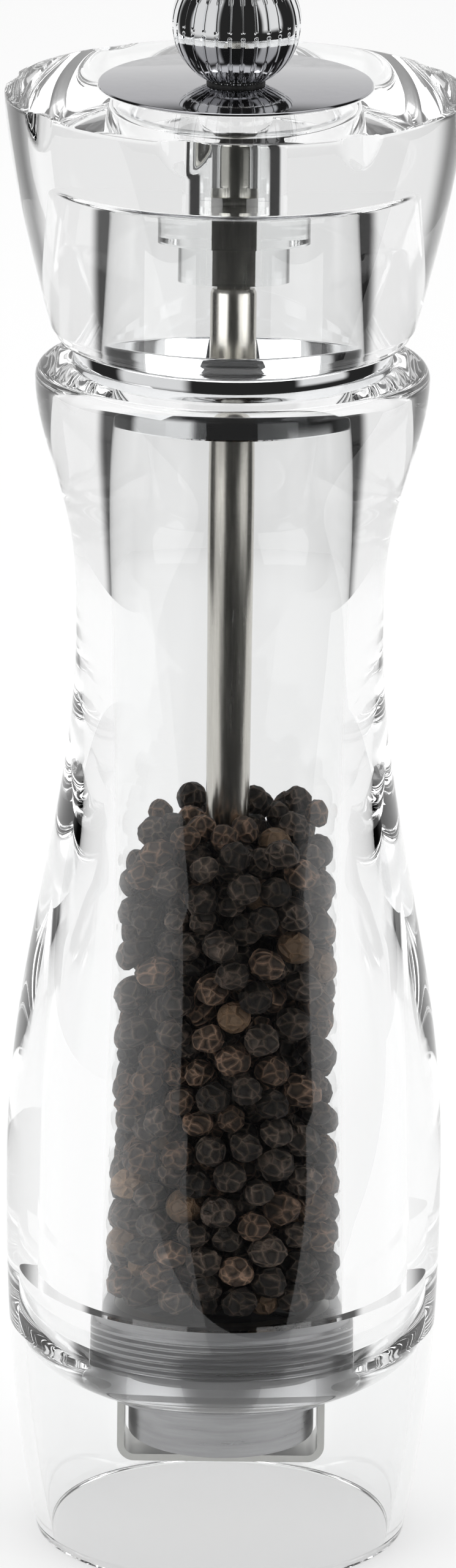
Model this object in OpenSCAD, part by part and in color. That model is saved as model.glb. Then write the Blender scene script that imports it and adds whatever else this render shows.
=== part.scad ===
// Tall clear pepper mill with a ball knob, in millimetres.
// +Z is up, the origin is the middle of the foot, and +X runs along the stirrup.

/* [Body] */
// Height of the body, from the foot to its flat top
body_h = 172.4; // [160:0.1:215]
// Outer radius at the foot
foot_r = 26.4; // [25:0.1:30]
// Outer radius at the widest place of the belly
belly_r = 31; // [30:0.1:38]
// Height of the widest place of the belly
belly_z = 54; // [46:0.5:64]
// Outer radius at the waist
waist_r = 21.6; // [20.5:0.1:26]
// Height of the waist
waist_z = 134; // [122:0.5:140]
// Outer radius of the lip
lip_r = 27.6; // [27.2:0.1:34]
// Rounding of the lip's upper corner
lip_round = 1.8; // [1:0.1:2.6]
// Height at which the skirt leaves the solid bottom
skirt_h = 31.8; // [30:0.1:36]
// Wall of the skirt
skirt_wall = 2; // [1.2:0.1:3]
// Depth of the bowl under the solid bottom
bowl_depth = 11.6; // [9:0.1:12]

/* [Chamber] */
// Radius of the pepper chamber
chamber_r = 16.5; // [13.7:0.1:19.8]
// Growth of the chamber's radius from its plain upper part to its foot
chamber_swell = 0.65; // [0.5:0.05:0.8]
// Height where the chamber starts to widen downwards
swell_top = 97; // [85:0.5:112]
// Height of the part of the chamber that widens
swell_h = 30; // [10:1:40]
// Height of the chamber's floor, where the carrier begins
chamber_z = 37; // [34:0.5:42]
// Height of the peppercorn fill
pepper_top = 113; // [60:1:125]

/* [Collar] */
// Radius of the collar's flange
flange_r = 22.4; // [19:0.1:23]
// Thickness of the flange
flange_t = 3.3; // [2.6:0.1:4]
// Step from the chamber's radius out to the spigot tube's
spigot_step = 1; // [0.8:0.05:1.5]
// Height of the spigot tube above the flange
spigot_h = 3.4; // [1.5:0.1:5]
// Wall of the spigot tube
spigot_wall = 1; // [0.8:0.1:1.5]
// Length of the collar's sleeve inside the chamber
sleeve_h = 5.6; // [4:0.1:9]

/* [Head] */
// Height of the head, from its underside to its rim
head_h = 35.4; // [32:0.1:45]
// Radius of the head's lower end
head_low_r = 24.9; // [23:0.1:27]
// Radius of the head's rim
rim_r = 32.1; // [30:0.1:38]
// Rise of the head's top from its rim to the disc
crown_rise = 0.9; // [0:0.1:2]
// Rounding of the head's lower edge
head_round = 1.6; // [0.5:0.1:2]
// Depth of the cavity in the head
cavity_h = 23.6; // [22.6:0.1:25]
// Taper of the cavity's wall, on the radius
cavity_draft = 0.9; // [0:0.1:1.2]
// Number of cuts around the head
head_cuts = 8; // [6:1:12]
// Radius of the round cutter of the head
head_cutter_r = 9; // [7:0.5:14]
// Depth of a head cut at the rim
head_cut_depth = 0.9; // [0.3:0.1:1.5]
// Height of a head cut's straight part
head_cut_h = 9; // [4:0.5:14]
// Lean of a head cut, in degrees
head_cut_lean = 6; // [0:1:12]
// Turn of the first head cut from +X, in degrees
head_cut_turn = 32.4; // [0:0.1:45]

/* [Disc and knob] */
// Radius of the top disc
disc_r = 19.1; // [15:0.1:22]
// Thickness of the top disc
disc_t = 1.2; // [0.8:0.1:2]
// Radius of the knob
knob_r = 9; // [7.5:0.1:12]
// Radius of the knob's flat foot
knob_foot_r = 4.2; // [4:0.1:5]
// Number of grooves around the knob
knob_grooves = 30; // [20:2:40]
// Width of a groove
groove_w = 0.5; // [0.3:0.05:0.8]
// Depth of a groove
groove_depth = 0.35; // [0.1:0.05:0.5]
// Height of the plain band around the knob
band_h = 0.6; // [0.3:0.1:1.2]
// Radius of the washer under the knob
knob_washer_r = 4.1; // [3.6:0.1:4.4]
// Thickness of the washer under the knob
knob_washer_t = 0.4; // [0.3:0.1:1.5]
// Radius of the threaded insert in the knob
insert_r = 3.6; // [3.4:0.1:4]
// Length of the threaded insert
insert_h = 8; // [5:0.5:9]

/* [Shaft] */
// Radius of the round part of the shaft
shaft_r = 3.15; // [3.12:0.01:3.3]
// Width across the squared parts of the shaft
square_w = 4.4; // [4:0.1:4.4]
// Radius of the threaded stud at the top
stud_r = 2.1; // [1.6:0.05:2.15]
// Radius of the stud and pilot at the bottom
pilot_r = 1.9; // [1.5:0.05:2.1]

/* [Grinder] */
// Height of the can's lower edge above the table
can_z = 14.8; // [12.3:0.1:17.8]
// Outer radius of the can
can_r = 13.3; // [11:0.05:16]
// Wall of the can
can_wall = 1.1; // [0.8:0.05:1.3]
// Width of the can's upper flange
can_brim = 2; // [1.8:0.1:2.4]
// Wall of the grinding ring, with its teeth
ring_wall = 2.2; // [2:0.1:2.6]
// Number of teeth in the grinding ring
ring_teeth = 24; // [16:1:30]
// Number of teeth on the grinding cone
cone_teeth = 10; // [8:1:14]
// Radius of the cone's upper end
cone_top_r = 5.4; // [5.2:0.1:6]
// Height of the cone
cone_h = 10.6; // [9:0.1:11]
// Mean radius of the spring
spring_r = 4.4; // [4.2:0.05:4.6]
// Radius of the spring's wire
wire_r = 0.4; // [0.3:0.05:0.5]
// Number of turns of the spring
spring_turns = 4; // [3:1:5]

/* [Carrier and stirrup] */
// Wall of the carrier outside the can's flange, without the thread
carrier_wall = 2.9; // [2.4:0.1:3.4]
// Depth of the carrier's thread
thread_depth = 0.5; // [0.3:0.05:0.6]
// Pitch of the thread
thread_pitch = 1; // [0.8:0.1:2]
// Height of the spider
spider_h = 3; // [2.5:0.1:3.2]
// Gap between the can and the outside of the stirrup's legs
leg_gap = 1.5; // [1.4:0.1:2]
// Width of the stirrup's strap
strap_w = 9; // [6:0.5:10]
// Thickness of the strap
strap_t = 1; // [0.8:0.1:1.2]
// Outer radius of the strap's bends
strap_bend = 2.5; // [1.5:0.1:3.5]
// Drop from the can's lower edge to the strap's underside
strap_drop = 3.8; // [3.6:0.1:4.6]

/* [Fits] */
// Radial clearance of a turning fit
turn_gap = 0.05; // [0.02:0.01:0.1]
// Radial clearance of a seated piece
seat_gap = 0.05; // [0:0.01:0.1]
// Gap between faces that pass one another
face_gap = 0.3; // [0.2:0.05:0.5]
// Radial gap between the head and the spigot
spigot_gap = 0.35; // [0.3:0.05:0.5]
// Gap between the head and the collar's flange
head_gap = 0.3; // [0.3:0.05:0.8]

/* [Hidden] */
$fn = 64;

// curves of the outsides
foot_power = 2.5;                             // how late the belly narrows to the foot
belly_bias = 1.06;
neck_bias = 1.45;
head_power = 1.4;

// small steps that repeat
thread_gap = 0.15;                            // between the two threads' crests and roots
thread_start = 1.3;                           // plain length below the thread
thread_end = 0.5;                             // plain length above the thread
lip_edge = 0.3;                               // small bevels on turned edges
lap = 0.2;                                    // overlap inside one body where parts are pressed

// places up the axis
lip_z = body_h - lip_round;                   // widest place of the lip
flange_z = body_h;                            // underside of the flange
flange_top = flange_z + flange_t;
head_z = flange_top + head_gap;               // underside of the head
rim_z = head_z + head_h;
crown_z = rim_z + crown_rise;
ceiling_z = head_z + cavity_h;
disc_z = crown_z - disc_t + 0.3;              // underside of the disc
disc_top = disc_z + disc_t;
knob_z = disc_top + knob_washer_t + 0.1;      // flat foot of the knob
knob_mid = knob_z + sqrt(knob_r * knob_r - knob_foot_r * knob_foot_r);
cone_z = can_z + 0.8;                         // underside of the cone
cone_top = cone_z + cone_h;
can_top = chamber_z - spider_h - 1;           // upper face of the can's flange
can_flange_t = 1.2;
spider_z = can_top;                           // underside of the spider
retainer_t = 0.8;
thrust_t = 0.7;
thrust_z = spider_z - face_gap - thrust_t;
seat_t = 0.5;
hub_drop = 11;
hub_z = ceiling_z - hub_drop;                 // lower end of the hub

// grinder and stirrup, from the can outwards
cone_r = can_r - can_wall - ring_wall;        // largest radius of the grinding cone
can_flange_r = can_r + can_brim;
root_r = can_flange_r + carrier_wall;         // foot of the carrier's thread
thread_r = root_r + thread_depth;
stirrup_x = can_r + leg_gap;                  // half the stirrup's outer width
strap_z = can_z - strap_drop;                 // underside of the strap

// the bowl and the carrier in it
bore_r = root_r + 0.1;                        // bore in the body for the carrier
bowl_r = body_r(skirt_h) - skirt_wall;        // radius of the bowl's upper edge
carrier_z = bowl_surface(bore_r) - 0.6;       // underside of the carrier

// collar and head fits
spigot_r = chamber_r + spigot_step;           // outer radius of the spigot tube
chamber_low_r = chamber_r + chamber_swell;
cavity_low_r = spigot_r + spigot_gap;
cavity_top_r = cavity_low_r - cavity_draft;
hub_flange_r = 10.4;
hub_cup_r = 7.6;
hub_shank_r = 4.8;
hub_step = 5.6;                               // height of the hub's wide part

// shaft
square_hole = square_w + 2 * turn_gap;
round_z = spider_z + 0.8;                     // lower end of the round part
round_top = hub_z - 1;                        // upper end of the round part
square_top = ceiling_z + 1;
stud_top = knob_mid + 3;
washer_h = 0.6;
cone_washer_r = 4.6;
nut_h = 1.8;
nut_r = 3.8;                                  // to the nut's corners
cone_base_h = 2.4;                            // straight lowest part of the cone
shaft_z = strap_z - 0.8;

// bushes and the stirrup's screws
bush_r = shaft_r + turn_gap + 1.1;
lower_bush_r = pilot_r + turn_gap + 1.2;
screw_x = stirrup_x + 1.6;
screw_r = 0.8;
screw_h = 4;
screw_head_r = 1.5;
screw_head_h = 0.9;

// A blend from 0 to 1 that starts and ends level; bias > 1 starts slower.
function ease(t, bias = 1) = (1 - cos(180 * pow(t, bias))) / 2;

// Outer radius of the body at height z.
function body_r(z) =
    z < belly_z ? belly_r - (belly_r - foot_r) * pow(1 - z / belly_z, foot_power)
    : z < waist_z ? belly_r + (waist_r - belly_r) * ease((z - belly_z) / (waist_z - belly_z), belly_bias)
    : waist_r + (lip_r - waist_r) * ease((z - waist_z) / (lip_z - waist_z), neck_bias);

// Outer radius of the head at height z.
function head_r(z) = rim_r - (rim_r - head_low_r) * pow((rim_z - z) / head_h, head_power);

// Height of the bowl's surface at radius r.
function bowl_surface(r) = skirt_h - bowl_depth * sqrt(1 - pow(r / bowl_r, 2));

// Points of an outline between two heights, from its radius function.
function body_side(z0, z1, n) = [for (i = [0:n]) let (z = z0 + (z1 - z0) * i / n) [body_r(z), z]];
function head_side(z0, z1, n) = [for (i = [0:n]) let (z = z0 + (z1 - z0) * i / n) [head_r(z), z]];
function arc(x, z, r, a0, a1, n) =
    [for (i = [0:n]) let (a = a0 + (a1 - a0) * i / n) [x + r * cos(a), z + r * sin(a)]];

module tube(r_out, r_in, h) {
    difference() {
        cylinder(r = r_out, h = h);
        translate([0, 0, -1]) cylinder(r = r_in, h = h + 2);
    }
}

module square_bar(w, z0, z1) {
    translate([-w / 2, -w / 2, z0]) cube([w, w, z1 - z0]);
}

// Rings that stand for a screw thread, from z0 upwards.
module thread_rings(r, depth, z0, z1) {
    for (z = [z0 + thread_pitch / 2 : thread_pitch : z1 - thread_pitch / 2])
        rotate_extrude() polygon([[r - depth - 1, z - thread_pitch * 0.4],
            [r - depth, z - thread_pitch * 0.4], [r, z - thread_pitch * 0.12],
            [r, z + thread_pitch * 0.12], [r - depth, z + thread_pitch * 0.4],
            [r - depth - 1, z + thread_pitch * 0.4]]);
}

// ---- fixed in the body ----

// The chamber: a straight tube above, a little wider towards its foot.
module chamber() {
    swell_low = swell_top - swell_h;
    translate([0, 0, chamber_z]) cylinder(r = chamber_r, h = body_h);
    translate([0, 0, chamber_z]) cylinder(r = chamber_low_r, h = swell_low - chamber_z);
    translate([0, 0, swell_low]) cylinder(r1 = chamber_low_r, r2 = chamber_r, h = swell_h);
}

// The hollow under the bowl, inside the skirt.
module skirt_hollow() {
    n = 12;
    inner = [for (i = [0:n]) let (z = -1 + (skirt_h + 1) * i / n)
        [body_r(max(z, 0)) - skirt_wall, z]];
    bowl = [for (i = [1:n]) let (a = 90 * i / n)
        [bowl_r * cos(a), skirt_h - bowl_depth * sin(a)]];
    rotate_extrude() polygon(concat([[0, -1]], inner, bowl));
}

module body() {
    color([0.86, 0.9, 0.92, 0.35])
    difference() {
        rotate_extrude() polygon(concat([[0, 0]], body_side(0, waist_z, 40),
            body_side(waist_z + 1, lip_z - 0.5, 24), arc(lip_r - lip_round, lip_z, lip_round, 0, 90, 6),
            [[0, body_h]]));
        skirt_hollow();
        chamber();
        translate([0, 0, -1]) cylinder(r = bore_r, h = chamber_z + 1);
        thread_rings(thread_r + thread_gap, thread_depth + 0.05, carrier_z + thread_start,
            chamber_z - thread_end);
    }
}

module collar() {
    tube_in = spigot_r - spigot_wall;
    mouth = chamber_r - seat_gap;
    color([0.8, 0.82, 0.84])
    rotate_extrude() polygon([[mouth - spigot_wall, flange_z - sleeve_h], [mouth, flange_z - sleeve_h],
        [mouth, flange_z], [flange_r - lip_edge, flange_z], [flange_r, flange_z + lip_edge],
        [flange_r, flange_top - lip_edge], [flange_r - lip_edge, flange_top],
        [spigot_r, flange_top], [spigot_r, flange_top + spigot_h - lip_edge],
        [spigot_r - lip_edge, flange_top + spigot_h],
        [tube_in + lip_edge, flange_top + spigot_h],
        [tube_in, flange_top + spigot_h - lip_edge], [tube_in, flange_z + 1],
        [mouth - spigot_wall, flange_z]]);
}

module mechanism_carrier() {
    color([0.68, 0.69, 0.7])
    difference() {
        union() {
            translate([0, 0, carrier_z]) cylinder(r = root_r, h = chamber_z - carrier_z - 0.05);
            thread_rings(thread_r, thread_depth, carrier_z + thread_start, chamber_z - thread_end);
        }
        translate([0, 0, carrier_z - 1]) cylinder(r = can_r + seat_gap, h = chamber_z);
        translate([0, 0, can_top - can_flange_t]) cylinder(r = can_flange_r + seat_gap, h = chamber_z);
        for (side = [-1, 1])
            translate([side * screw_x, 0, carrier_z - 1]) cylinder(r = screw_r, h = screw_h + 1);
    }
}

module grinder_housing() {
    color([0.55, 0.56, 0.57])
    difference() {
        union() {
            translate([0, 0, can_z]) cylinder(r = can_r, h = can_top - can_z);
            translate([0, 0, can_top - can_flange_t]) cylinder(r = can_flange_r, h = can_flange_t);
        }
        translate([0, 0, can_z + 0.6]) cylinder(r = can_r - can_wall, h = chamber_z);
        translate([0, 0, can_z - 1]) cylinder(r = can_r - can_wall - 0.5, h = chamber_z);
    }
}

module grinding_ring() {
    ring_z = can_z + 0.6;
    ring_h = 11.4;
    tooth_r = cone_r + 0.55;
    color([0.42, 0.42, 0.43])
    difference() {
        translate([0, 0, ring_z]) cylinder(r = can_r - can_wall, h = ring_h);
        translate([0, 0, ring_z - 1]) cylinder(r = tooth_r - 0.25, h = ring_h + 2);
        for (i = [0:ring_teeth - 1])
            rotate([0, 0, i * 360 / ring_teeth])
            translate([tooth_r - 0.2, 0, ring_z - 1]) cylinder(r = 0.75, h = ring_h + 2, $fn = 16);
    }
}

module bearing_spider() {
    hub_r = bush_r + 1.2;
    color([0.62, 0.63, 0.65])
    difference() {
        union() {
            translate([0, 0, spider_z]) tube(can_flange_r, can_r - can_wall, spider_h);
            translate([0, 0, spider_z]) cylinder(r = hub_r, h = spider_h);
            for (i = [0:2])
                rotate([0, 0, 90 + i * 120])
                translate([0, -1.3, spider_z]) cube([can_r - 0.5, 2.6, spider_h]);
        }
        translate([0, 0, spider_z - 1]) cylinder(r = bush_r, h = spider_h + 2);
    }
}

module spider_bush() {
    color([0.72, 0.55, 0.3])
    translate([0, 0, spider_z]) tube(bush_r, shaft_r + turn_gap, spider_h + 1);
}

module retaining_ring() {
    color([0.5, 0.51, 0.53])
    difference() {
        translate([0, 0, spider_z + spider_h]) tube(can_flange_r, can_r, retainer_t);
        translate([-0.6, 0, spider_z + spider_h - 1]) cube([1.2, 20, 3]);
    }
}

module stirrup() {
    inner_x = stirrup_x - strap_t;
    inner_bend = strap_bend - strap_t;
    foot_end = screw_x + 1.7;
    color([0.5, 0.5, 0.51])
    difference() {
        translate([0, strap_w / 2, 0]) rotate([90, 0, 0])
        linear_extrude(height = strap_w) difference() {
            union() {
                translate([-stirrup_x, strap_z + strap_bend])
                    square([2 * stirrup_x, carrier_z - strap_z - strap_bend]);
                translate([strap_bend - stirrup_x, strap_z])
                    square([2 * (stirrup_x - strap_bend), strap_bend + 0.5]);
                for (side = [-1, 1])
                    translate([side * (stirrup_x - strap_bend), strap_z + strap_bend])
                        circle(r = strap_bend);
                translate([-foot_end, carrier_z - strap_t]) square([2 * foot_end, strap_t]);
            }
            translate([-inner_x, strap_z + strap_bend]) square([2 * inner_x, carrier_z]);
            translate([inner_bend - inner_x, strap_z + strap_t])
                square([2 * (inner_x - inner_bend), strap_bend]);
            for (side = [-1, 1])
                translate([side * (inner_x - inner_bend), strap_z + strap_bend])
                    circle(r = inner_bend);
        }
        translate([0, 0, strap_z - 1]) cylinder(r = lower_bush_r, h = 3);
        for (side = [-1, 1])
            translate([side * screw_x, 0, carrier_z - 3]) cylinder(r = screw_r + 0.1, h = 4);
    }
}

module stirrup_screws() {
    color([0.6, 0.6, 0.62])
    for (side = [-1, 1])
        translate([side * screw_x, 0, carrier_z - strap_t]) difference() {
            union() {
                cylinder(r = screw_r, h = screw_h + strap_t - 0.2);
                translate([0, 0, -screw_head_h]) cylinder(r = screw_head_r, h = screw_head_h);
            }
            translate([-2, -0.2, -1]) cube([4, 0.4, 0.5]);
        }
}

module lower_bush() {
    color([0.72, 0.55, 0.3])
    translate([0, 0, strap_z - 0.4]) tube(lower_bush_r, pilot_r + turn_gap, strap_t + 0.7);
}

module peppercorns() {
    fill_r = chamber_r - 0.5;
    heap = 6;
    color([0.16, 0.12, 0.1])
    difference() {
        rotate_extrude() polygon([[0, chamber_z + 1.2], [fill_r - 3, chamber_z + 1.2],
            [fill_r, chamber_z + 4], [fill_r, pepper_top - heap], [fill_r - 5, pepper_top - 1],
            [0, pepper_top]]);
        cylinder(r = shaft_r + face_gap, h = body_h);
    }
}

// ---- turns with the shaft, does not slide with it ----

module thrust_washer() {
    color([0.66, 0.67, 0.69])
    difference() {
        translate([0, 0, thrust_z]) cylinder(r = spring_r + wire_r + 0.4, h = thrust_t);
        square_bar(square_hole, thrust_z - 1, thrust_z + thrust_t + 1);
    }
}

// Rings on one another stand for the coil, closed by a thin sleeve of wire.
module grinder_spring() {
    z0 = cone_top + seat_t + wire_r + 0.05;
    z1 = thrust_z - wire_r - 0.05;
    color([0.7, 0.71, 0.73])
    union() {
        for (i = [0:spring_turns])
            translate([0, 0, z0 + (z1 - z0) * i / spring_turns])
            rotate_extrude() translate([spring_r, 0]) circle(r = wire_r, $fn = 16);
        for (i = [0:spring_turns - 1])
            rotate([0, 0, i * 180])
            translate([spring_r, 0, z0 + (z1 - z0) * i / spring_turns])
            cylinder(r = wire_r * 0.8, h = (z1 - z0) / spring_turns, $fn = 16);
    }
}

// ---- spindle ----

module shaft() {
    color([0.56, 0.55, 0.52])
    union() {
        translate([0, 0, shaft_z]) cylinder(r = pilot_r, h = cone_z - shaft_z + 1);
        intersection() {
            square_bar(square_w, cone_z, square_top);
            cylinder(r = shaft_r, h = square_top);
        }
        translate([0, 0, round_z]) cylinder(r = shaft_r, h = round_top - round_z);
        translate([0, 0, square_top - 1]) cylinder(r = stud_r, h = stud_top - square_top + 1);
    }
}

module grinding_cone() {
    color([0.4, 0.4, 0.41])
    difference() {
        union() {
            translate([0, 0, cone_z]) cylinder(r = cone_r, h = cone_base_h);
            translate([0, 0, cone_z + cone_base_h])
                cylinder(r1 = cone_r, r2 = cone_top_r, h = cone_h - cone_base_h);
        }
        square_bar(square_hole, cone_z - 1, cone_top + 1);
        for (i = [0:cone_teeth - 1])
            rotate([0, 0, i * 360 / cone_teeth])
            translate([cone_r + 0.3, 0, cone_z - 1]) rotate([0, -14, 0]) rotate([24, 0, 0])
            cylinder(r = 1.3, h = cone_h * 1.6, $fn = 16);
    }
}

module spring_seat() {
    color([0.66, 0.67, 0.69])
    translate([0, 0, cone_top]) difference() {
        cylinder(r = spring_r + wire_r + 0.4, h = seat_t);
        square_bar(square_hole, -1, seat_t + 1);
    }
}

module cone_washer() {
    color([0.66, 0.67, 0.69])
    translate([0, 0, cone_z - washer_h]) tube(cone_washer_r, pilot_r + seat_gap, washer_h);
}

module cone_nut() {
    color([0.6, 0.6, 0.62])
    translate([0, 0, cone_z - washer_h - nut_h]) difference() {
        cylinder(r = nut_r, h = nut_h, $fn = 6);
        translate([0, 0, -1]) cylinder(r = pilot_r + seat_gap, h = nut_h + 2);
    }
}

// ---- head ----

module head() {
    n = 16;
    low = arc(head_r(head_z) - head_round, head_z + head_round, head_round, -90, -10, 5);
    color([0.86, 0.9, 0.92, 0.35])
    difference() {
        rotate_extrude() polygon(concat([[0, head_z]], low,
            head_side(head_z + head_round + 0.5, rim_z, n), [[disc_r + 0.3, crown_z], [0, crown_z]]));
        rotate_extrude() polygon([[0, head_z - 1], [cavity_low_r, head_z - 1],
            [cavity_low_r, head_z + 1], [cavity_top_r, ceiling_z - 1], [cavity_top_r - 1, ceiling_z],
            [0, ceiling_z]]);
        translate([0, 0, ceiling_z - 1]) cylinder(r = hub_shank_r + seat_gap, h = 2 * head_h);
        translate([0, 0, disc_z]) cylinder(r = disc_r + 0.1, h = 10);
        for (i = [0:head_cuts - 1])
            rotate([0, 0, head_cut_turn + i * 360 / head_cuts])
            translate([rim_r - head_cut_depth + head_cutter_r, 0, rim_z])
            rotate([0, -head_cut_lean, 0])
            translate([0, 0, -head_cut_h]) union() {
                cylinder(r = head_cutter_r, h = 20);
                sphere(r = head_cutter_r);
            }
    }
}

module drive_hub() {
    color([0.84, 0.88, 0.9, 0.5])
    difference() {
        union() {
            translate([0, 0, hub_z]) cylinder(r = hub_cup_r, h = hub_drop - 0.1);
            translate([0, 0, ceiling_z - hub_step]) cylinder(r = hub_flange_r, h = hub_step - 0.1);
            translate([0, 0, ceiling_z - lap]) cylinder(r = hub_shank_r, h = disc_z - ceiling_z);
        }
        square_bar(square_hole, hub_z - 1, square_top + 1.3);
        translate([0, 0, square_top]) cylinder(r = stud_r + face_gap, h = head_h);
    }
}

module top_disc() {
    color([0.2, 0.2, 0.21])
    translate([0, 0, disc_z]) difference() {
        rotate_extrude() polygon([[0, 0], [disc_r - 0.1, 0], [disc_r, 0.1], [disc_r, disc_t - 0.25],
            [disc_r - 0.25, disc_t], [0, disc_t]]);
        translate([0, 0, -1]) cylinder(r = stud_r + face_gap, h = disc_t + 2);
    }
}

module knob_washer() {
    color([0.06, 0.06, 0.06])
    translate([0, 0, disc_top]) tube(knob_washer_r, stud_r + face_gap, knob_washer_t);
}

// ---- knob ----

// A rib between two grooves, standing out of the core; upper is 1 above the band, -1 below it.
module knob_rib(upper) {
    n = 5;
    span = 360 / knob_grooves - groove_w / knob_r * 180 / PI;
    low = upper > 0 ? asin(band_h / 2 / knob_r) : asin((knob_mid - knob_z) / knob_r);
    high = upper > 0 ? 80 : -asin(band_h / 2 / knob_r);
    from = upper > 0 ? low : -low;
    outer = [for (i = [0:n]) let (a = from + (high - from) * i / n)
        [knob_r * cos(a), knob_r * sin(a)]];
    inner = [for (a = [high, from]) [(knob_r - 1.5) * cos(a), (knob_r - 1.5) * sin(a)]];
    rotate([0, 0, -span / 2]) rotate_extrude(angle = span) polygon(concat(outer, inner));
}

module knob() {
    n = 24;
    core_r = knob_r - groove_depth;
    foot_a = asin((knob_mid - knob_z) / core_r);
    core = [for (i = [0:n]) let (a = -foot_a + (90 + foot_a) * i / n)
        [core_r * cos(a), core_r * sin(a)]];
    color([0.85, 0.86, 0.88])
    difference() {
        translate([0, 0, knob_mid]) union() {
            rotate_extrude() polygon(concat([[0, knob_z - knob_mid]], core));
            for (i = [0:knob_grooves - 1])
                rotate([0, 0, i * 360 / knob_grooves]) {
                    knob_rib(1);
                    knob_rib(-1);
                }
        }
        translate([0, 0, knob_z - 1]) cylinder(r = insert_r + seat_gap, h = insert_h + 1.1);
        translate([0, 0, knob_z - 1]) cylinder(r = stud_r + face_gap, h = stud_top - knob_z + 2);
    }
}

module knob_insert() {
    color([0.75, 0.6, 0.3])
    translate([0, 0, knob_z]) tube(insert_r, stud_r + turn_gap, insert_h);
}

body();
collar();
mechanism_carrier();
grinder_housing();
grinding_ring();
bearing_spider();
spider_bush();
retaining_ring();
stirrup();
stirrup_screws();
lower_bush();
peppercorns();
thrust_washer();
grinder_spring();
shaft();
grinding_cone();
spring_seat();
cone_washer();
cone_nut();
head();
drive_hub();
top_disc();
knob_washer();
knob();
knob_insert();
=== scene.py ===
import math

import bmesh
import bpy
import numpy as np
from mathutils import Matrix, Vector


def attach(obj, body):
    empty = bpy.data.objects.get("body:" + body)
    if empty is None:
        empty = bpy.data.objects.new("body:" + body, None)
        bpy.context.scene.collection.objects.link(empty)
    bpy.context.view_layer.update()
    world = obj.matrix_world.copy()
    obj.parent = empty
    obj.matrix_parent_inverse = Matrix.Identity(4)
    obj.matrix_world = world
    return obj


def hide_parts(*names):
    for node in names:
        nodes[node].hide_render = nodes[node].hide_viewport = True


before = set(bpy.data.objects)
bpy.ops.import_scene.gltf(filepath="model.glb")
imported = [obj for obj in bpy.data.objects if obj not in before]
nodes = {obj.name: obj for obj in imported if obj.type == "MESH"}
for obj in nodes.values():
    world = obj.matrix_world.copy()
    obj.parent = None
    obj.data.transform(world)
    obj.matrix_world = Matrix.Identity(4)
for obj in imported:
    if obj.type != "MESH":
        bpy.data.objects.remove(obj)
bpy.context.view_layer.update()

MM = 0.001
TAU = 2 * math.pi

# ---- sizes in millimetres, as in the part's source ----
BODY_H, LIP_ROUND = 172.4, 1.8
FOOT_R, BELLY_R, BELLY_Z, WAIST_R, WAIST_Z, LIP_R = 26.4, 31.0, 54.0, 21.6, 134.0, 27.6
SKIRT_H, SKIRT_WALL, BOWL_DEPTH = 31.8, 2.0, 11.6
CHAMBER_R, CHAMBER_Z, PEPPER_TOP = 16.5, 37.0, 113.0
CHAMBER_LOW_R, SWELL_TOP, SWELL_H = 17.15, 97.0, 30.0
FLANGE_R, FLANGE_T, SPIGOT_R, SPIGOT_H, SPIGOT_WALL, SLEEVE_H = 22.4, 3.3, 17.5, 3.4, 1.0, 5.6
HEAD_H, HEAD_LOW_R, RIM_R, CROWN_RISE, HEAD_ROUND = 35.4, 24.9, 32.1, 0.9, 1.6
CAVITY_H, CAVITY_DRAFT = 23.6, 0.9
HEAD_CUTS, HEAD_CUTTER_R, HEAD_CUT_DEPTH, HEAD_CUT_FROM = 8, 9.0, 0.9, 0.72
HEAD_CUT_H, HEAD_CUT_LEAN = 9, math.radians(6)
DISC_R, DISC_T = 19.1, 1.2
KNOB_R, KNOB_FOOT_R, KNOB_GROOVES = 9.0, 4.2, 30
GROOVE_W, GROOVE_DEPTH, BAND_H, KNOB_TOP = 0.5, 0.35, 0.6, 8.86
SHAFT_R, SQUARE_W, STUD_R = 3.15, 4.4, 2.1
THREAD_R = 18.7
SEAT_GAP = 0.05

LIP_Z = BODY_H - LIP_ROUND
FLANGE_Z = BODY_H
FLANGE_TOP = FLANGE_Z + FLANGE_T
HEAD_Z = FLANGE_TOP + 0.3
RIM_Z = HEAD_Z + HEAD_H
CROWN_Z = RIM_Z + CROWN_RISE
CEILING_Z = HEAD_Z + CAVITY_H
DISC_Z = CROWN_Z - DISC_T + 0.3
DISC_TOP = DISC_Z + DISC_T
KNOB_Z = DISC_TOP + 0.5
KNOB_MID = KNOB_Z + math.sqrt(KNOB_R ** 2 - KNOB_FOOT_R ** 2)
HUB_Z = CEILING_Z - 11
BORE_R = THREAD_R + 0.12
CAVITY_LOW_R = SPIGOT_R + 0.35
CAVITY_TOP_R = CAVITY_LOW_R - CAVITY_DRAFT


def ease(t, bias=1.0):
    return (1 - np.cos(math.pi * np.power(np.clip(t, 0, 1), bias))) / 2


def body_r(z):
    z = np.asarray(z, float)
    low = BELLY_R - (BELLY_R - FOOT_R) * np.power(np.clip(1 - z / BELLY_Z, 0, 1), 2.5)
    mid = BELLY_R + (WAIST_R - BELLY_R) * ease((z - BELLY_Z) / (WAIST_Z - BELLY_Z), 1.06)
    top = WAIST_R + (LIP_R - WAIST_R) * ease((z - WAIST_Z) / (LIP_Z - WAIST_Z), 1.45)
    return np.where(z < BELLY_Z, low, np.where(z < WAIST_Z, mid, top))


def head_r(z):
    return RIM_R - (RIM_R - HEAD_LOW_R) * np.power(np.clip((RIM_Z - z) / HEAD_H, 0, 1), 1.4)


BOWL_R = float(body_r(SKIRT_H)) - SKIRT_WALL


# ---- mesh helpers ----

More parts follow.
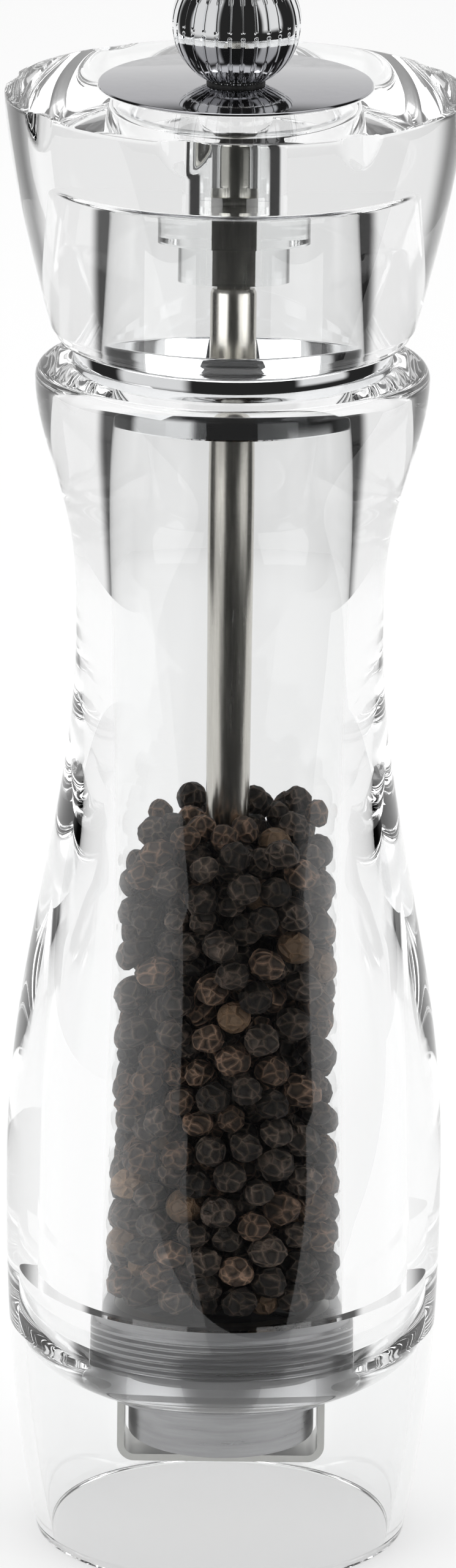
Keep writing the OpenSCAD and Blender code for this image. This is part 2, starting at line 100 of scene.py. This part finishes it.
def new_object(name, verts, faces):
    mesh = bpy.data.meshes.new(name)
    mesh.from_pydata([Vector(v) * MM for v in verts], [], faces)
    bm = bmesh.new()
    bm.from_mesh(mesh)
    bmesh.ops.recalc_face_normals(bm, faces=bm.faces)
    bm.to_mesh(mesh)
    bm.free()
    mesh.polygons.foreach_set("use_smooth", [True] * len(mesh.polygons))
    obj = bpy.data.objects.new(name, mesh)
    bpy.context.scene.collection.objects.link(obj)
    return obj


def lathe(name, profile, seg=128, closed=False, radius=None, sharp=30):
    """Turns a profile of (r, z) about Z. radius(theta, r, z) may change a point's radius."""
    rings, verts = [], []
    theta = np.arange(seg) * TAU / seg
    for r, z in profile:
        if r < 1e-6:
            rings.append([len(verts)])
            verts.append((0, 0, z))
            continue
        rr = np.full(seg, r) if radius is None else radius(theta, r, z)
        rings.append(list(range(len(verts), len(verts) + seg)))
        verts.extend(zip(rr * np.cos(theta), rr * np.sin(theta), np.full(seg, z)))
    faces = []
    pairs = list(zip(rings, rings[1:] + ([rings[0]] if closed else [])))
    if not closed:
        pairs = pairs[: len(rings) - 1]
    for a, b in pairs:
        for i in range(seg):
            j = (i + 1) % seg
            if len(a) == 1 and len(b) == 1:
                continue
            if len(a) == 1:
                faces.append((a[0], b[i], b[j]))
            elif len(b) == 1:
                faces.append((a[i], b[0], a[j]))
            else:
                faces.append((a[i], b[i], b[j], a[j]))
    obj = new_object(name, verts, faces)
    sharpen(obj, sharp)
    return obj


def sharpen(obj, degrees):
    """Marks the edges sharper than an angle, so that flats stay flat under smooth shading."""
    bm = bmesh.new()
    bm.from_mesh(obj.data)
    limit = math.radians(degrees)
    for e in bm.edges:
        if len(e.link_faces) == 2 and e.calc_face_angle(0) > limit:
            e.smooth = False
    bm.to_mesh(obj.data)
    bm.free()


def arc(x, z, r, a0, a1, n):
    return [(x + r * math.cos(math.radians(a0 + (a1 - a0) * i / n)),
             z + r * math.sin(math.radians(a0 + (a1 - a0) * i / n))) for i in range(n + 1)]


# ---- material helpers ----

class Mat:
    """A node material: a Principled shader and short ways to add texture nodes."""

    def __init__(self, name, **values):
        self.mat = bpy.data.materials.new(name)
        self.mat.use_nodes = True
        self.tree = self.mat.node_tree
        self.tree.nodes.clear()
        self.out = self.add("ShaderNodeOutputMaterial")
        self.bsdf = self.add("ShaderNodeBsdfPrincipled")
        self.link(self.bsdf, "BSDF", self.out, "Surface")
        for key, value in values.items():
            self.bsdf.inputs[key.replace("_", " ")].default_value = value
        self.coord = self.add("ShaderNodeTexCoord")

    def add(self, kind, **props):
        node = self.tree.nodes.new(kind)
        for key, value in props.items():
            setattr(node, key, value)
        return node

    def link(self, a, out, b, inp):
        self.tree.links.new(a.outputs[out], b.inputs[inp])

    def scaled(self, scale):
        node = self.add("ShaderNodeMapping")
        node.inputs["Scale"].default_value = scale
        self.link(self.coord, "Object", node, "Vector")
        return node

    def noise(self, scale, detail=3.0, rough=0.5, stretch=(1, 1, 1), distort=0.0):
        node = self.add("ShaderNodeTexNoise")
        node.inputs["Scale"].default_value = scale
        node.inputs["Detail"].default_value = detail
        node.inputs["Roughness"].default_value = rough
        node.inputs["Distortion"].default_value = distort
        self.link(self.scaled(stretch), "Vector", node, "Vector")
        return node

    def ramp(self, source, out, stops):
        node = self.add("ShaderNodeValToRGB")
        ramp = node.color_ramp
        while len(ramp.elements) < len(stops):
            ramp.elements.new(0.5)
        for element, (pos, colour) in zip(ramp.elements, stops):
            element.position = pos
            element.color = (*colour, 1) if len(colour) == 3 else colour
        self.link(source, out, node, "Fac")
        return node

    def span(self, source, out, low, high, at=(0.0, 1.0)):
        node = self.add("ShaderNodeMapRange")
        node.inputs["From Min"].default_value, node.inputs["From Max"].default_value = at
        node.inputs["To Min"].default_value, node.inputs["To Max"].default_value = low, high
        self.link(source, out, node, "Value")
        return node

    def bump(self, source, out, strength, distance):
        node = self.add("ShaderNodeBump")
        node.inputs["Strength"].default_value = strength
        node.inputs["Distance"].default_value = distance
        self.link(source, out, node, "Height")
        self.link(node, "Normal", self.bsdf, "Normal")
        return node


def acrylic(name, tint, rough, wave):
    m = Mat(name, Base_Color=(*tint, 1), Transmission_Weight=1.0, IOR=1.49)
    flow = m.noise(45, 0, 0.4)
    m.bump(flow, "Fac", wave, 0.0004)
    m.bsdf.inputs["Roughness"].default_value = rough
    return m.mat


def metal(name, colour, rough, spread, stretch=(1, 1, 1), scale=400, grain=0.05, dark=0.9):
    m = Mat(name, Metallic=1.0)
    fine = m.noise(scale, 5, 0.6, stretch)
    tone = m.ramp(fine, "Fac", [(0.3, tuple(c * dark for c in colour)), (0.7, colour)])
    m.link(tone, "Color", m.bsdf, "Base Color")
    m.link(m.span(fine, "Fac", rough, rough + spread, (0.3, 0.7)), "Result", m.bsdf, "Roughness")
    m.bump(fine, "Fac", grain, 0.00005)
    return m.mat


clear = acrylic("clear_acrylic", (0.955, 0.958, 0.958), 0.0, 0.02)
insert = acrylic("clear_insert", (0.96, 0.97, 0.97), 0.04, 0.05)
chrome = metal("chrome", (0.92, 0.93, 0.94), 0.02, 0.03, scale=300, grain=0.02, dark=0.97)
disc_metal = metal("dark_steel", (0.42, 0.42, 0.44), 0.05, 0.03, (1, 1, 1), 700, 0.02, 0.95)
shaft_metal = metal("shaft_steel", (0.72, 0.70, 0.65), 0.2, 0.08, (1, 1, 0.06), 1500, 0.12, 0.85)
can_metal = metal("can_steel", (0.4, 0.4, 0.41), 0.25, 0.15, (0.25, 0.25, 3), 260, 0.15, 0.6)
grinder_metal = metal("grinder_steel", (0.33, 0.33, 0.34), 0.35, 0.15, scale=800, grain=0.3)
fastener_metal = metal("fastener_steel", (0.5, 0.5, 0.48), 0.28, 0.1, scale=900, grain=0.1)
spring_metal = metal("spring_steel", (0.62, 0.63, 0.65), 0.25, 0.1, scale=1200, grain=0.1)
bronze = metal("bush_bronze", (0.7, 0.5, 0.28), 0.35, 0.15, scale=1500, grain=0.3)
brass = metal("insert_brass", (0.8, 0.62, 0.32), 0.25, 0.1, scale=900, grain=0.1)

nylon = Mat("black_nylon", Roughness=0.55)
nylon_grain = nylon.noise(1500, 3)
nylon.link(nylon.ramp(nylon_grain, "Fac", [(0.3, (0.02, 0.02, 0.02)), (0.7, (0.045, 0.045, 0.045))]),
           "Color", nylon.bsdf, "Base Color")
nylon.bump(nylon_grain, "Fac", 0.2, 0.00005)

pepper = Mat("peppercorn", Roughness=0.6)
pepper.bsdf.inputs["Specular IOR Level"].default_value = 0.3
# the corn layer holds each corn's colour together with painted light on its ridges and painted shade in its
# dips
tint = pepper.add("ShaderNodeVertexColor", layer_name="corn")
bend = pepper.noise(500, 3, 0.6)
warp = pepper.add("ShaderNodeMix", data_type="VECTOR")
warp.inputs[0].default_value = 0.0009
folds = pepper.add("ShaderNodeTexVoronoi", feature="DISTANCE_TO_EDGE")
folds.inputs["Scale"].default_value = 620
pepper.link(pepper.coord, "Object", warp, 4)
pepper.link(bend, "Color", warp, 5)
pepper.link(warp, 1, folds, "Vector")
# the ramp makes the fold crests paler, partly the corn's own paler ridges and partly a painted highlight, and
# paints shade as a dark band at the foot of each crest
crest_tone_and_painted_light = pepper.ramp(folds, "Distance", [(0.0, (4.2, 3.6, 3.2)), (0.07, (2.0, 1.85, 1.7)),
                                        (0.22, (0.55, 0.52, 0.5)), (0.6, (0.8, 0.76, 0.72))])
shade = pepper.add("ShaderNodeMix", data_type="RGBA", blend_type="MULTIPLY")
pepper.link(tint, "Alpha", shade, 0)
pepper.link(tint, "Color", shade, 6)
pepper.link(crest_tone_and_painted_light, "Color", shade, 7)
pepper.link(shade, 2, pepper.bsdf, "Base Color")
ridge_height = pepper.span(folds, "Distance", 1.0, 0.0, (0.0, 0.25))
pepper.bump(ridge_height, "Result", 1.0, 0.00045)

MATERIALS = {
    "clear_acrylic": clear, "clear_insert": insert, "chrome": chrome, "dark_steel": disc_metal,
    "shaft_steel": shaft_metal, "can_steel": can_metal, "grinder_steel": grinder_metal,
    "fastener_steel": fastener_metal, "spring_steel": spring_metal, "bush_bronze": bronze,
    "insert_brass": brass, "black_nylon": nylon.mat, "peppercorn": pepper.mat,
}


def dress(obj, material):
    obj.data.materials.clear()
    obj.data.materials.append(material)


def piece(obj, node, body, slot):
    dress(obj, MATERIALS[slot])
    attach(obj, body)
    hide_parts(node)


# ---- body ----
def chamber_wall(z):
    return float(np.interp(z, [SWELL_TOP - SWELL_H, SWELL_TOP], [CHAMBER_LOW_R, CHAMBER_R]))


def body_profile():
    outer = [(float(body_r(0)) - 0.3, 0), (float(body_r(0)) - 0.06, 0.1)]
    outer += [(float(body_r(z)), float(z)) for z in np.linspace(0.35, WAIST_Z, 150)]
    outer += [(float(body_r(z)), float(z)) for z in np.linspace(WAIST_Z + 0.7, LIP_Z - 0.3, 50)]
    lip = arc(LIP_R - LIP_ROUND, LIP_Z, LIP_ROUND, 0, 90, 12)
    inside = [(CHAMBER_R + 0.2, BODY_H), (CHAMBER_R, BODY_H - 0.2)]
    inside += [(chamber_wall(z), float(z)) for z in np.linspace(BODY_H - 1, CHAMBER_Z + 2, 100)]
    inside += [(CHAMBER_LOW_R, CHAMBER_Z), (BORE_R, CHAMBER_Z)]
    start = math.acos(BORE_R / BOWL_R)
    bowl = [(BOWL_R * math.cos(start * (1 - i / 24)), SKIRT_H - BOWL_DEPTH * math.sin(start * (1 - i / 24)))
            for i in range(25)]
    skirt = [(float(body_r(z)) - SKIRT_WALL, float(z)) for z in np.linspace(SKIRT_H - 1, 0.3, 20)]
    skirt.append((float(body_r(0)) - SKIRT_WALL + 0.3, 0))
    return outer + lip + inside + bowl + skirt


body_shell = lathe("body_shell", body_profile(), 256, True, None, 28)
piece(body_shell, "body", "mill_body", "clear_acrylic")

# ---- collar ----
tube_in = SPIGOT_R - SPIGOT_WALL
mouth = CHAMBER_R - SEAT_GAP
sleeve_in = mouth - SPIGOT_WALL
seat = FLANGE_Z + 0.02
collar = lathe("neck_collar", [
    (sleeve_in + 0.2, FLANGE_Z - SLEEVE_H), (mouth - 0.2, FLANGE_Z - SLEEVE_H),
    (mouth, FLANGE_Z - SLEEVE_H + 0.2), (mouth, seat), (FLANGE_R - 0.3, seat),
    (FLANGE_R - 0.09, seat + 0.09), (FLANGE_R, seat + 0.3), (FLANGE_R, FLANGE_TOP - 0.4),
    (FLANGE_R - 0.12, FLANGE_TOP - 0.12), (FLANGE_R - 0.4, FLANGE_TOP), (SPIGOT_R + 0.2, FLANGE_TOP),
    (SPIGOT_R, FLANGE_TOP + 0.2), (SPIGOT_R, FLANGE_TOP + SPIGOT_H - 0.3),
    (SPIGOT_R - 0.09, FLANGE_TOP + SPIGOT_H - 0.09), (SPIGOT_R - 0.3, FLANGE_TOP + SPIGOT_H),
    (tube_in + 0.3, FLANGE_TOP + SPIGOT_H), (tube_in + 0.09, FLANGE_TOP + SPIGOT_H - 0.09),
    (tube_in, FLANGE_TOP + SPIGOT_H - 0.3), (tube_in, FLANGE_Z + 1), (sleeve_in, FLANGE_Z),
    (sleeve_in, FLANGE_Z - SLEEVE_H + 0.2)], 256, True)
piece(collar, "collar", "mill_body", "chrome")


# ---- head ----

def head_cut(theta, r, z):
    """Radius of the head's outside with its short flutes, each a leaned round cutter."""
    pitch = TAU / HEAD_CUTS
    off = np.mod(theta - HEAD_CUT_FROM * pitch + pitch / 2, pitch) - pitch / 2
    x0 = RIM_R - HEAD_CUT_DEPTH + HEAD_CUTTER_R
    v = r * np.sin(off)
    centre_z = RIM_Z - HEAD_CUT_H * math.cos(HEAD_CUT_LEAN)
    centre_x = x0 + HEAD_CUT_H * math.sin(HEAD_CUT_LEAN)
    up = z - centre_z
    if up >= 0:
        axis_x = centre_x - up * math.tan(HEAD_CUT_LEAN)
        reach = HEAD_CUTTER_R ** 2 - v * v
        depth = np.sqrt(np.clip(reach, 0, None)) / math.cos(HEAD_CUT_LEAN)
    else:
        axis_x = centre_x
        reach = HEAD_CUTTER_R ** 2 - v * v - up * up
        depth = np.sqrt(np.clip(reach, 0, None))
    u = axis_x - depth
    rho = np.sqrt(u * u + v * v)
    return np.where((reach > 0) & (np.cos(off) > 0), np.minimum(rho, r), r)


def head_profile():
    low = arc(float(head_r(HEAD_Z)) - HEAD_ROUND, HEAD_Z + HEAD_ROUND, HEAD_ROUND, -90, -10, 10)
    side = [(float(head_r(z)), float(z)) for z in np.linspace(HEAD_Z + HEAD_ROUND + 0.5, RIM_Z - 0.3, 90)]
    top = [(RIM_R - 0.12, RIM_Z - 0.05), (RIM_R - 0.5, RIM_Z + 0.03)]
    top += [(float(r), RIM_Z + CROWN_RISE * (RIM_R - float(r)) / (RIM_R - DISC_R))
            for r in np.linspace(RIM_R - 1, DISC_R + 0.4, 14)]
    seat = [(DISC_R + 0.1, CROWN_Z), (DISC_R + 0.1, DISC_Z), (4.85, DISC_Z), (4.85, CEILING_Z)]
    ceiling = [(float(r), CEILING_Z) for r in np.linspace(6, CAVITY_TOP_R - 1, 8)]
    fillet = arc(CAVITY_TOP_R - 1, CEILING_Z - 1, 1, 90, 0, 6)[1:]
    wall = [(CAVITY_TOP_R + (CAVITY_LOW_R - CAVITY_TOP_R) * t, CEILING_Z - 1 - (CAVITY_H - 2) * t)
            for t in np.linspace(0.02, 1, 30)]
    return low + side + top + seat + ceiling + fillet + wall + [(CAVITY_LOW_R, HEAD_Z)]


def head_radius(theta, r, z):
    if r > CAVITY_LOW_R + 2 and z > RIM_Z - 20:
        return head_cut(theta, float(r), float(z))
    return np.full(len(theta), float(r))


head_shell = lathe("head_shell", head_profile(), 384, True, head_radius, 28)
piece(head_shell, "head", "head_set", "clear_acrylic")

# ---- disc ----
disc = lathe("disc_plate", [
    (STUD_R + 0.3, DISC_Z + 0.05), (DISC_R - 0.1, DISC_Z + 0.05), (DISC_R, DISC_Z + 0.15),
    (DISC_R, DISC_TOP - 0.25),
    (DISC_R - 0.08, DISC_TOP - 0.08), (DISC_R - 0.25, DISC_TOP), (STUD_R + 0.3, DISC_TOP)], 256, True)
piece(disc, "top_disc", "head_set", "dark_steel")


# ---- knob ----

def knob_profile():
    foot = math.degrees(math.asin((KNOB_MID - KNOB_Z) / KNOB_R))
    side = [(r, min(z, KNOB_MID + KNOB_TOP)) for r, z in arc(0, KNOB_MID, KNOB_R, -foot, 90, 140)]
    return [(3.65, KNOB_Z), (KNOB_FOOT_R - 0.2, KNOB_Z)] + side[:-1] + [(0, KNOB_MID + KNOB_TOP)]


def knob_radius(theta, r, z):
    if z < KNOB_Z + 0.01:
        return np.full(len(theta), float(r))
    pitch = TAU / KNOB_GROOVES
    off = np.abs(np.mod(theta + pitch / 2, pitch) - pitch / 2) * r
    half = GROOVE_W / 2 * min(1, r / 3)
    depth = GROOVE_DEPTH * np.clip(1 - (off / half) ** 2, 0, 1) ** 0.5
    up = z - KNOB_MID
    depth = depth * np.clip((abs(up) - BAND_H / 2) / 0.25, 0, 1) * np.clip(r / KNOB_R * 4 - 0.6, 0, 1)
    return r - depth


knob_side = knob_profile()
knob = lathe("knob_ball", knob_side, KNOB_GROOVES * 20, False, knob_radius, 55)
piece(knob, "knob", "knob_set", "chrome")

# ---- shaft ----
round_top = HUB_Z - 1
shaft_profile = [(0, 10.2), (1.7, 10.2), (1.9, 10.4), (1.9, 15.6), (SQUARE_W / 2, 15.7),
                 (SQUARE_W / 2, 33.7), (SHAFT_R, 33.8)]
shaft_profile += [(SHAFT_R, float(z)) for z in np.linspace(34.5, round_top - 0.6, 20)]
shaft_profile += [(SHAFT_R - 0.25, round_top), (SQUARE_W / 2, round_top + 0.05),
                  (SQUARE_W / 2, CEILING_Z + 1), (STUD_R, CEILING_Z + 1.05),
                  (STUD_R, KNOB_MID + 2.7), (STUD_R - 0.3, KNOB_MID + 3), (0, KNOB_MID + 3)]


def shaft_radius(theta, r, z):
    if abs(r - SQUARE_W / 2) < 1e-6:
        off = np.mod(theta + math.pi / 4, math.pi / 2) - math.pi / 4
        return np.minimum(SQUARE_W / 2 / np.cos(off), SHAFT_R - 0.02)
    return np.full(len(theta), float(r))


shaft = lathe("shaft_rod", shaft_profile, 96, False, shaft_radius, 30)
piece(shaft, "shaft", "spindle", "shaft_steel")


# ---- peppercorns ----

def corn_mesh(rng):
    bm = bmesh.new()
    bmesh.ops.create_icosphere(bm, subdivisions=3, radius=1)
    dirs = rng.normal(size=(26, 3))
    dirs /= np.linalg.norm(dirs, axis=1)[:, None]
    for v in bm.verts:
        d = np.array(v.co)
        near = np.sort(np.arccos(np.clip(dirs @ d, -1, 1)))
        ridge = max(0.0, 1 - (near[1] - near[0]) / 0.16)
        swell = 0.05 * math.sin(3 * d[0] + dirs[0][0] * 5) * math.cos(4 * d[1] + dirs[1][1] * 5)
        v.co = v.co * (0.93 + 0.085 * ridge ** 1.3 + swell)
    pts = np.array([v.co[:] for v in bm.verts])
    faces = [[v.index for v in f.verts] for f in bm.faces]
    bm.free()
    return pts, faces


SETTLE_STEPS, SLOW_FROM = 260, 220        # the corns sink slower in the last steps
SINK, SLOW_SINK = 0.05, 0.01
FLOOR_BEND_FROM, FLOOR_BEND = 9.5, 0.03   # the fill's lower corner rises from this radius


def settle(rng, count, top):
    """Places for the peppercorns: spheres pushed apart and let down round the shaft."""
    rad = rng.uniform(2.0, 2.55, count)
    ang = rng.uniform(0, TAU, count)
    r = np.sqrt(rng.uniform(5.5 ** 2, 13.8 ** 2, count))
    pos = np.stack([r * np.cos(ang), r * np.sin(ang),
                    rng.uniform(CHAMBER_Z + 3.5, top, count)], 1)
    for step in range(SETTLE_STEPS):
        diff = pos[:, None] - pos[None]
        dist = np.sqrt((diff ** 2).sum(2)) + np.eye(count) * 99
        over = np.clip((rad[:, None] + rad[None]) * 0.985 - dist, 0, None)
        push = (diff / dist[..., None] * over[..., None]).sum(1) * 0.42
        pos += push
        pos[:, 2] -= SINK if step < SLOW_FROM else SLOW_SINK
        rr = np.hypot(pos[:, 0], pos[:, 1])
        reach = np.interp(pos[:, 2], [50, 97], [CHAMBER_LOW_R, CHAMBER_R]) - 0.25
        wall = np.clip(rr, SHAFT_R + rad + 0.05, reach - rad)
        pos[:, 0] *= wall / rr
        pos[:, 1] *= wall / rr
        out = np.clip(wall - FLOOR_BEND_FROM, 0, None)
        bottom = CHAMBER_Z + 0.2 + rad + FLOOR_BEND * out ** 2
        pos[:, 2] = np.maximum(pos[:, 2], bottom)
    return pos, rad


SMOOTH_SHARE, BROWN_SHARE = 0.05, 0.25    # tan smooth corns, and brown among the others


def make_corns():
    rng = np.random.default_rng(7)
    kinds = [corn_mesh(rng) for _ in range(10)]
    pos, rad = settle(rng, 660, PEPPER_TOP + 1.5)
    verts, faces, corn_colours_and_shade = [], [], []
    for p, r in zip(pos, rad):
        pts, polys = kinds[rng.integers(len(kinds))]
        axis = rng.normal(size=3)
        turn = Matrix.Rotation(rng.uniform(0, TAU), 3, Vector(axis).normalized())
        squash = np.array([1, rng.uniform(0.92, 1.0), rng.uniform(0.9, 1.0)])
        smooth = rng.random() < SMOOTH_SHARE
        shape = pts * squash
        if smooth:
            length = np.linalg.norm(shape, axis=1)[:, None]
            shape = shape / length * (0.97 + 0.03 * (length - 0.93))
        base = len(verts)
        verts.extend((shape @ np.array(turn).T) * r + p)
        faces.extend([[i + base for i in f] for f in polys])
        tone = rng.random()
        if smooth:
            colour = np.array([0.27, 0.18, 0.115]) * rng.uniform(0.4, 1.25)
        elif tone < BROWN_SHARE:
            colour = np.array([0.085, 0.062, 0.048]) * rng.uniform(0.6, 1.3)
        else:
            colour = np.array([0.040, 0.034, 0.030]) * rng.uniform(0.5, 1.5)
        # points further out on a corn get a lighter colour and its dips a darker one: partly the corn's own
        # paler ridges, partly a painted highlight on the ridges and painted shade in the dips
        ridge_light_dip_shade = np.linalg.norm(pts, axis=1)
        ridge_light_dip_shade = 0.6 + 0.9 * np.clip((ridge_light_dip_shade - 0.9) / 0.12, 0, 1)
        corn_colours_and_shade.extend([(*(colour * (1 if smooth else k)), 0.15 if smooth else 1) for k in ridge_light_dip_shade])
    obj = new_object("peppercorn_fill", verts, faces)
    layer = obj.data.color_attributes.new("corn", "FLOAT_COLOR", "POINT")
    layer.data.foreach_set("color", np.array(corn_colours_and_shade, dtype=np.float32).ravel())
    return obj


corns = make_corns()
piece(corns, "peppercorns", "mill_body", "peppercorn")


# ---- CAD nodes that stay ----
STAY = {
    "mechanism_carrier": "can_steel", "grinder_housing": "can_steel",
    "grinding_ring": "grinder_steel", "bearing_spider": "can_steel", "spider_bush": "bush_bronze",
    "retaining_ring": "fastener_steel", "stirrup": "fastener_steel",
    "stirrup_screws": "fastener_steel", "lower_bush": "bush_bronze",
    "thrust_washer": "fastener_steel", "grinder_spring": "spring_steel",
    "grinding_cone": "grinder_steel", "spring_seat": "fastener_steel",
    "cone_washer": "fastener_steel", "cone_nut": "fastener_steel", "drive_hub": "clear_insert",
    "knob_washer": "black_nylon", "knob_insert": "insert_brass",
}
for name, slot in STAY.items():
    dress(nodes[name], MATERIALS[slot])

# ---- floor, world, lights, camera ----
FLOOR_TURN = math.radians(19)
# distance of the front edge, half of the width, and depth behind the mill, in metres
edge, half_width, depth = 0.12, 0.6, 1.9
floor_mesh = bpy.data.meshes.new("floor")
out_dir = Vector((math.sin(FLOOR_TURN), -math.cos(FLOOR_TURN), 0))
drop = Vector((0, 0, 0.00005))


def front_edge(x):
    """Where the floor's front edge is at a sideways distance x from the mill."""
    return (-edge + x * out_dir.x) / -out_dir.y


corners = [Vector((x, y, 0)) - drop for x, y in [
    (half_width, front_edge(half_width)), (half_width, depth),
    (-half_width, depth), (-half_width, front_edge(-half_width))]]
floor_mesh.from_pydata(corners, [], [(0, 1, 2, 3)])
floor = bpy.data.objects.new("floor", floor_mesh)
bpy.context.scene.collection.objects.link(floor)
# a pale floor that glows a little, so that it stays light under the mill
floor_mat = Mat("floor", Base_Color=(0.42, 0.42, 0.42, 1), Roughness=0.8)
floor_mat.bsdf.inputs["Emission Color"].default_value = (1, 1, 1, 1)
floor_mat.bsdf.inputs["Emission Strength"].default_value = 0.54
floor_mat.bsdf.inputs["Specular IOR Level"].default_value = 0.1
dress(floor, floor_mat.mat)

world = bpy.data.worlds.new("studio")
bpy.context.scene.world = world
world.use_nodes = True
wt = world.node_tree
wt.nodes.clear()


def wmath(op, a, b=None):
    node = wt.nodes.new("ShaderNodeMath")
    node.operation = op
    for i, value in enumerate([a, b]):
        if value is None:
            continue
        if isinstance(value, (int, float)):
            node.inputs[i].default_value = value
        else:
            wt.links.new(value, node.inputs[i])
    return node.outputs[0]


def wstep(value, low, high):
    node = wt.nodes.new("ShaderNodeMapRange")
    node.interpolation_type = "SMOOTHSTEP"
    node.inputs["From Min"].default_value = low
    node.inputs["From Max"].default_value = high
    wt.links.new(value, node.inputs["Value"])
    return node.outputs[0]


coord = wt.nodes.new("ShaderNodeTexCoord")
split = wt.nodes.new("ShaderNodeSeparateXYZ")
wt.links.new(coord.outputs["Generated"], split.inputs[0])
dx, dy, dz = split.outputs
elev = wmath("MULTIPLY", wmath("ARCSINE", dz), 180 / math.pi)
azim = wmath("MULTIPLY", wmath("ARCTAN2", dx, wmath("MULTIPLY", dy, -1)), 180 / math.pi)


def box_light(a0, a1, e0, e1, soft, level):
    """A soft-edged bright rectangle of sky, in degrees of azimuth from the front and elevation."""
    inside = wmath("MULTIPLY", wstep(azim, a0, a0 + soft), wmath("SUBTRACT", 1, wstep(azim, a1 - soft, a1)))
    up = wmath("MULTIPLY", wstep(elev, e0, e0 + soft), wmath("SUBTRACT", 1, wstep(elev, e1 - soft, e1)))
    return wmath("MULTIPLY", wmath("MULTIPLY", inside, up), level)


# a bright backdrop behind the mill, soft boxes on both sides, light from above, dark in front
back = wstep(wmath("ABSOLUTE", azim), 118, 132)
back = wmath("MULTIPLY", back, wmath("SUBTRACT", 1, wstep(elev, 26, 40)))
sky = wmath("ADD", wmath("MULTIPLY", back, 0.85), 0.02)
sky = wmath("ADD", sky, box_light(-92, -28, -22, 55, 10, 0.7))
sky = wmath("ADD", sky, box_light(44, 92, -10, 50, 8, 0.75))
sky = wmath("ADD", sky, wmath("MULTIPLY", wstep(elev, 54, 64), 1.2))
background = wt.nodes.new("ShaderNodeBackground")
wt.links.new(sky, background.inputs["Strength"])
background.inputs["Color"].default_value = (1, 1, 1, 1)
out = wt.nodes.new("ShaderNodeOutputWorld")
wt.links.new(background.outputs[0], out.inputs["Surface"])


def area(name, place, target, size, power):
    light = bpy.data.lights.new(name, "AREA")
    light.shape = "RECTANGLE"
    light.size, light.size_y = size
    light.energy = power
    obj = bpy.data.objects.new(name, light)
    bpy.context.scene.collection.objects.link(obj)
    obj.location = place
    obj.rotation_euler = (Vector(target) - Vector(place)).to_track_quat("-Z", "Y").to_euler()
    return obj


area("overhead", (0, 0.5, 1.5), (0, 0.1, 0), (1.6, 1.2), 11)

# side lamps light the corns; glossy rays pass them, so they lay no veil on the body
for side, power in ((-1, 14), (1, 12)):
    lamp = area("side", (side * 1.25, -1.0, 0.95), (0, 0, 0.09), (1.5, 1.3), power)
    lamp.visible_glossy = False

CAM_DIST, CAM_HEIGHT, CAM_PITCH, CAM_ROLL = 1.481, 0.5626, 16.96, 0.65
FOCAL_PX, IMAGE_H = 17899, 2560
cam_data = bpy.data.cameras.new("camera")
cam_data.sensor_fit = "VERTICAL"
cam_data.sensor_height = 24
cam_data.lens = FOCAL_PX / IMAGE_H * 24
cam_data.clip_end = 50
camera = bpy.data.objects.new("camera", cam_data)
bpy.context.scene.collection.objects.link(camera)
camera.location = (0, -CAM_DIST, CAM_HEIGHT)
turn = Matrix.Rotation(math.radians(90 - CAM_PITCH), 4, "X") @ Matrix.Rotation(math.radians(CAM_ROLL), 4, "Z")
camera.matrix_world = Matrix.Translation(camera.location) @ turn
bpy.context.scene.camera = camera

scene = bpy.context.scene
scene.view_settings.view_transform = "Standard"
scene.cycles.max_bounces = 40
scene.cycles.transmission_bounces = 40
scene.cycles.glossy_bounces = 16
scene.cycles.diffuse_bounces = 4
scene.cycles.transparent_max_bounces = 16
scene.cycles.sample_clamp_indirect = 6
